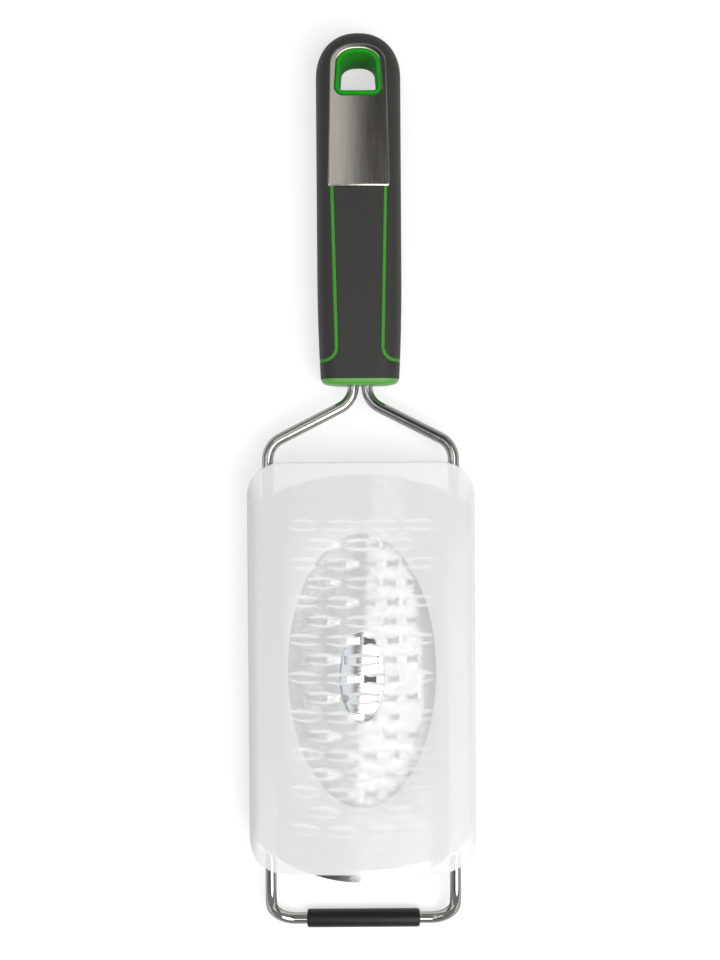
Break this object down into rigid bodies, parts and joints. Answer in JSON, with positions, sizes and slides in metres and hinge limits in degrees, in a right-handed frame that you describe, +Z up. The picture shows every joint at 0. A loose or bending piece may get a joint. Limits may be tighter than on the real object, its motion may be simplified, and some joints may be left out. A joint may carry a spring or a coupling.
{
  "type": "hand grater",
  "caption": "Hand grater: arched steel plate with raised blades on a bent wire frame, soft-grip handle with hanging hole, rubber foot and slide-on translucent guard.",
  "frame": {"origin": "middle of the bounding box on the table plane, with the grater lying on its back on the handle and the foot", "axes": "+Y runs from the foot to the top of the handle, +Z points up out of the grating face, +X across the plate"},
  "size_m": [0.081, 0.324, 0.0256],
  "materials": {
    "wire_steel": "polished",
    "plate_steel": "bright rolled",
    "cap_steel": "brushed lengthwise",
    "guard_plastic": "frosted, with a clear oval window",
    "core_plastic": "satin",
    "grip_rubber": "soft touch",
    "foot_rubber": "matt"
  },
  "bodies": {
    "grater": {"wire_frame": "wire_steel", "foot_sleeve": "foot_rubber", "grater_plate": "plate_steel", "handle_core": "core_plastic", "front_grip": "grip_rubber", "rear_grip": "grip_rubber", "side_grip": "grip_rubber", "cap_plate": "cap_steel", "hole_liner": "core_plastic", "end_plug": "core_plastic"},
    "guard": {"blade_guard": "guard_plastic"}
  },
  "joints": [
    {"name": "guard_slide", "type": "slide", "parent": "grater", "child": "guard", "axis": [0, -1, 0], "range_m": [0, 0.175]}
  ]
}
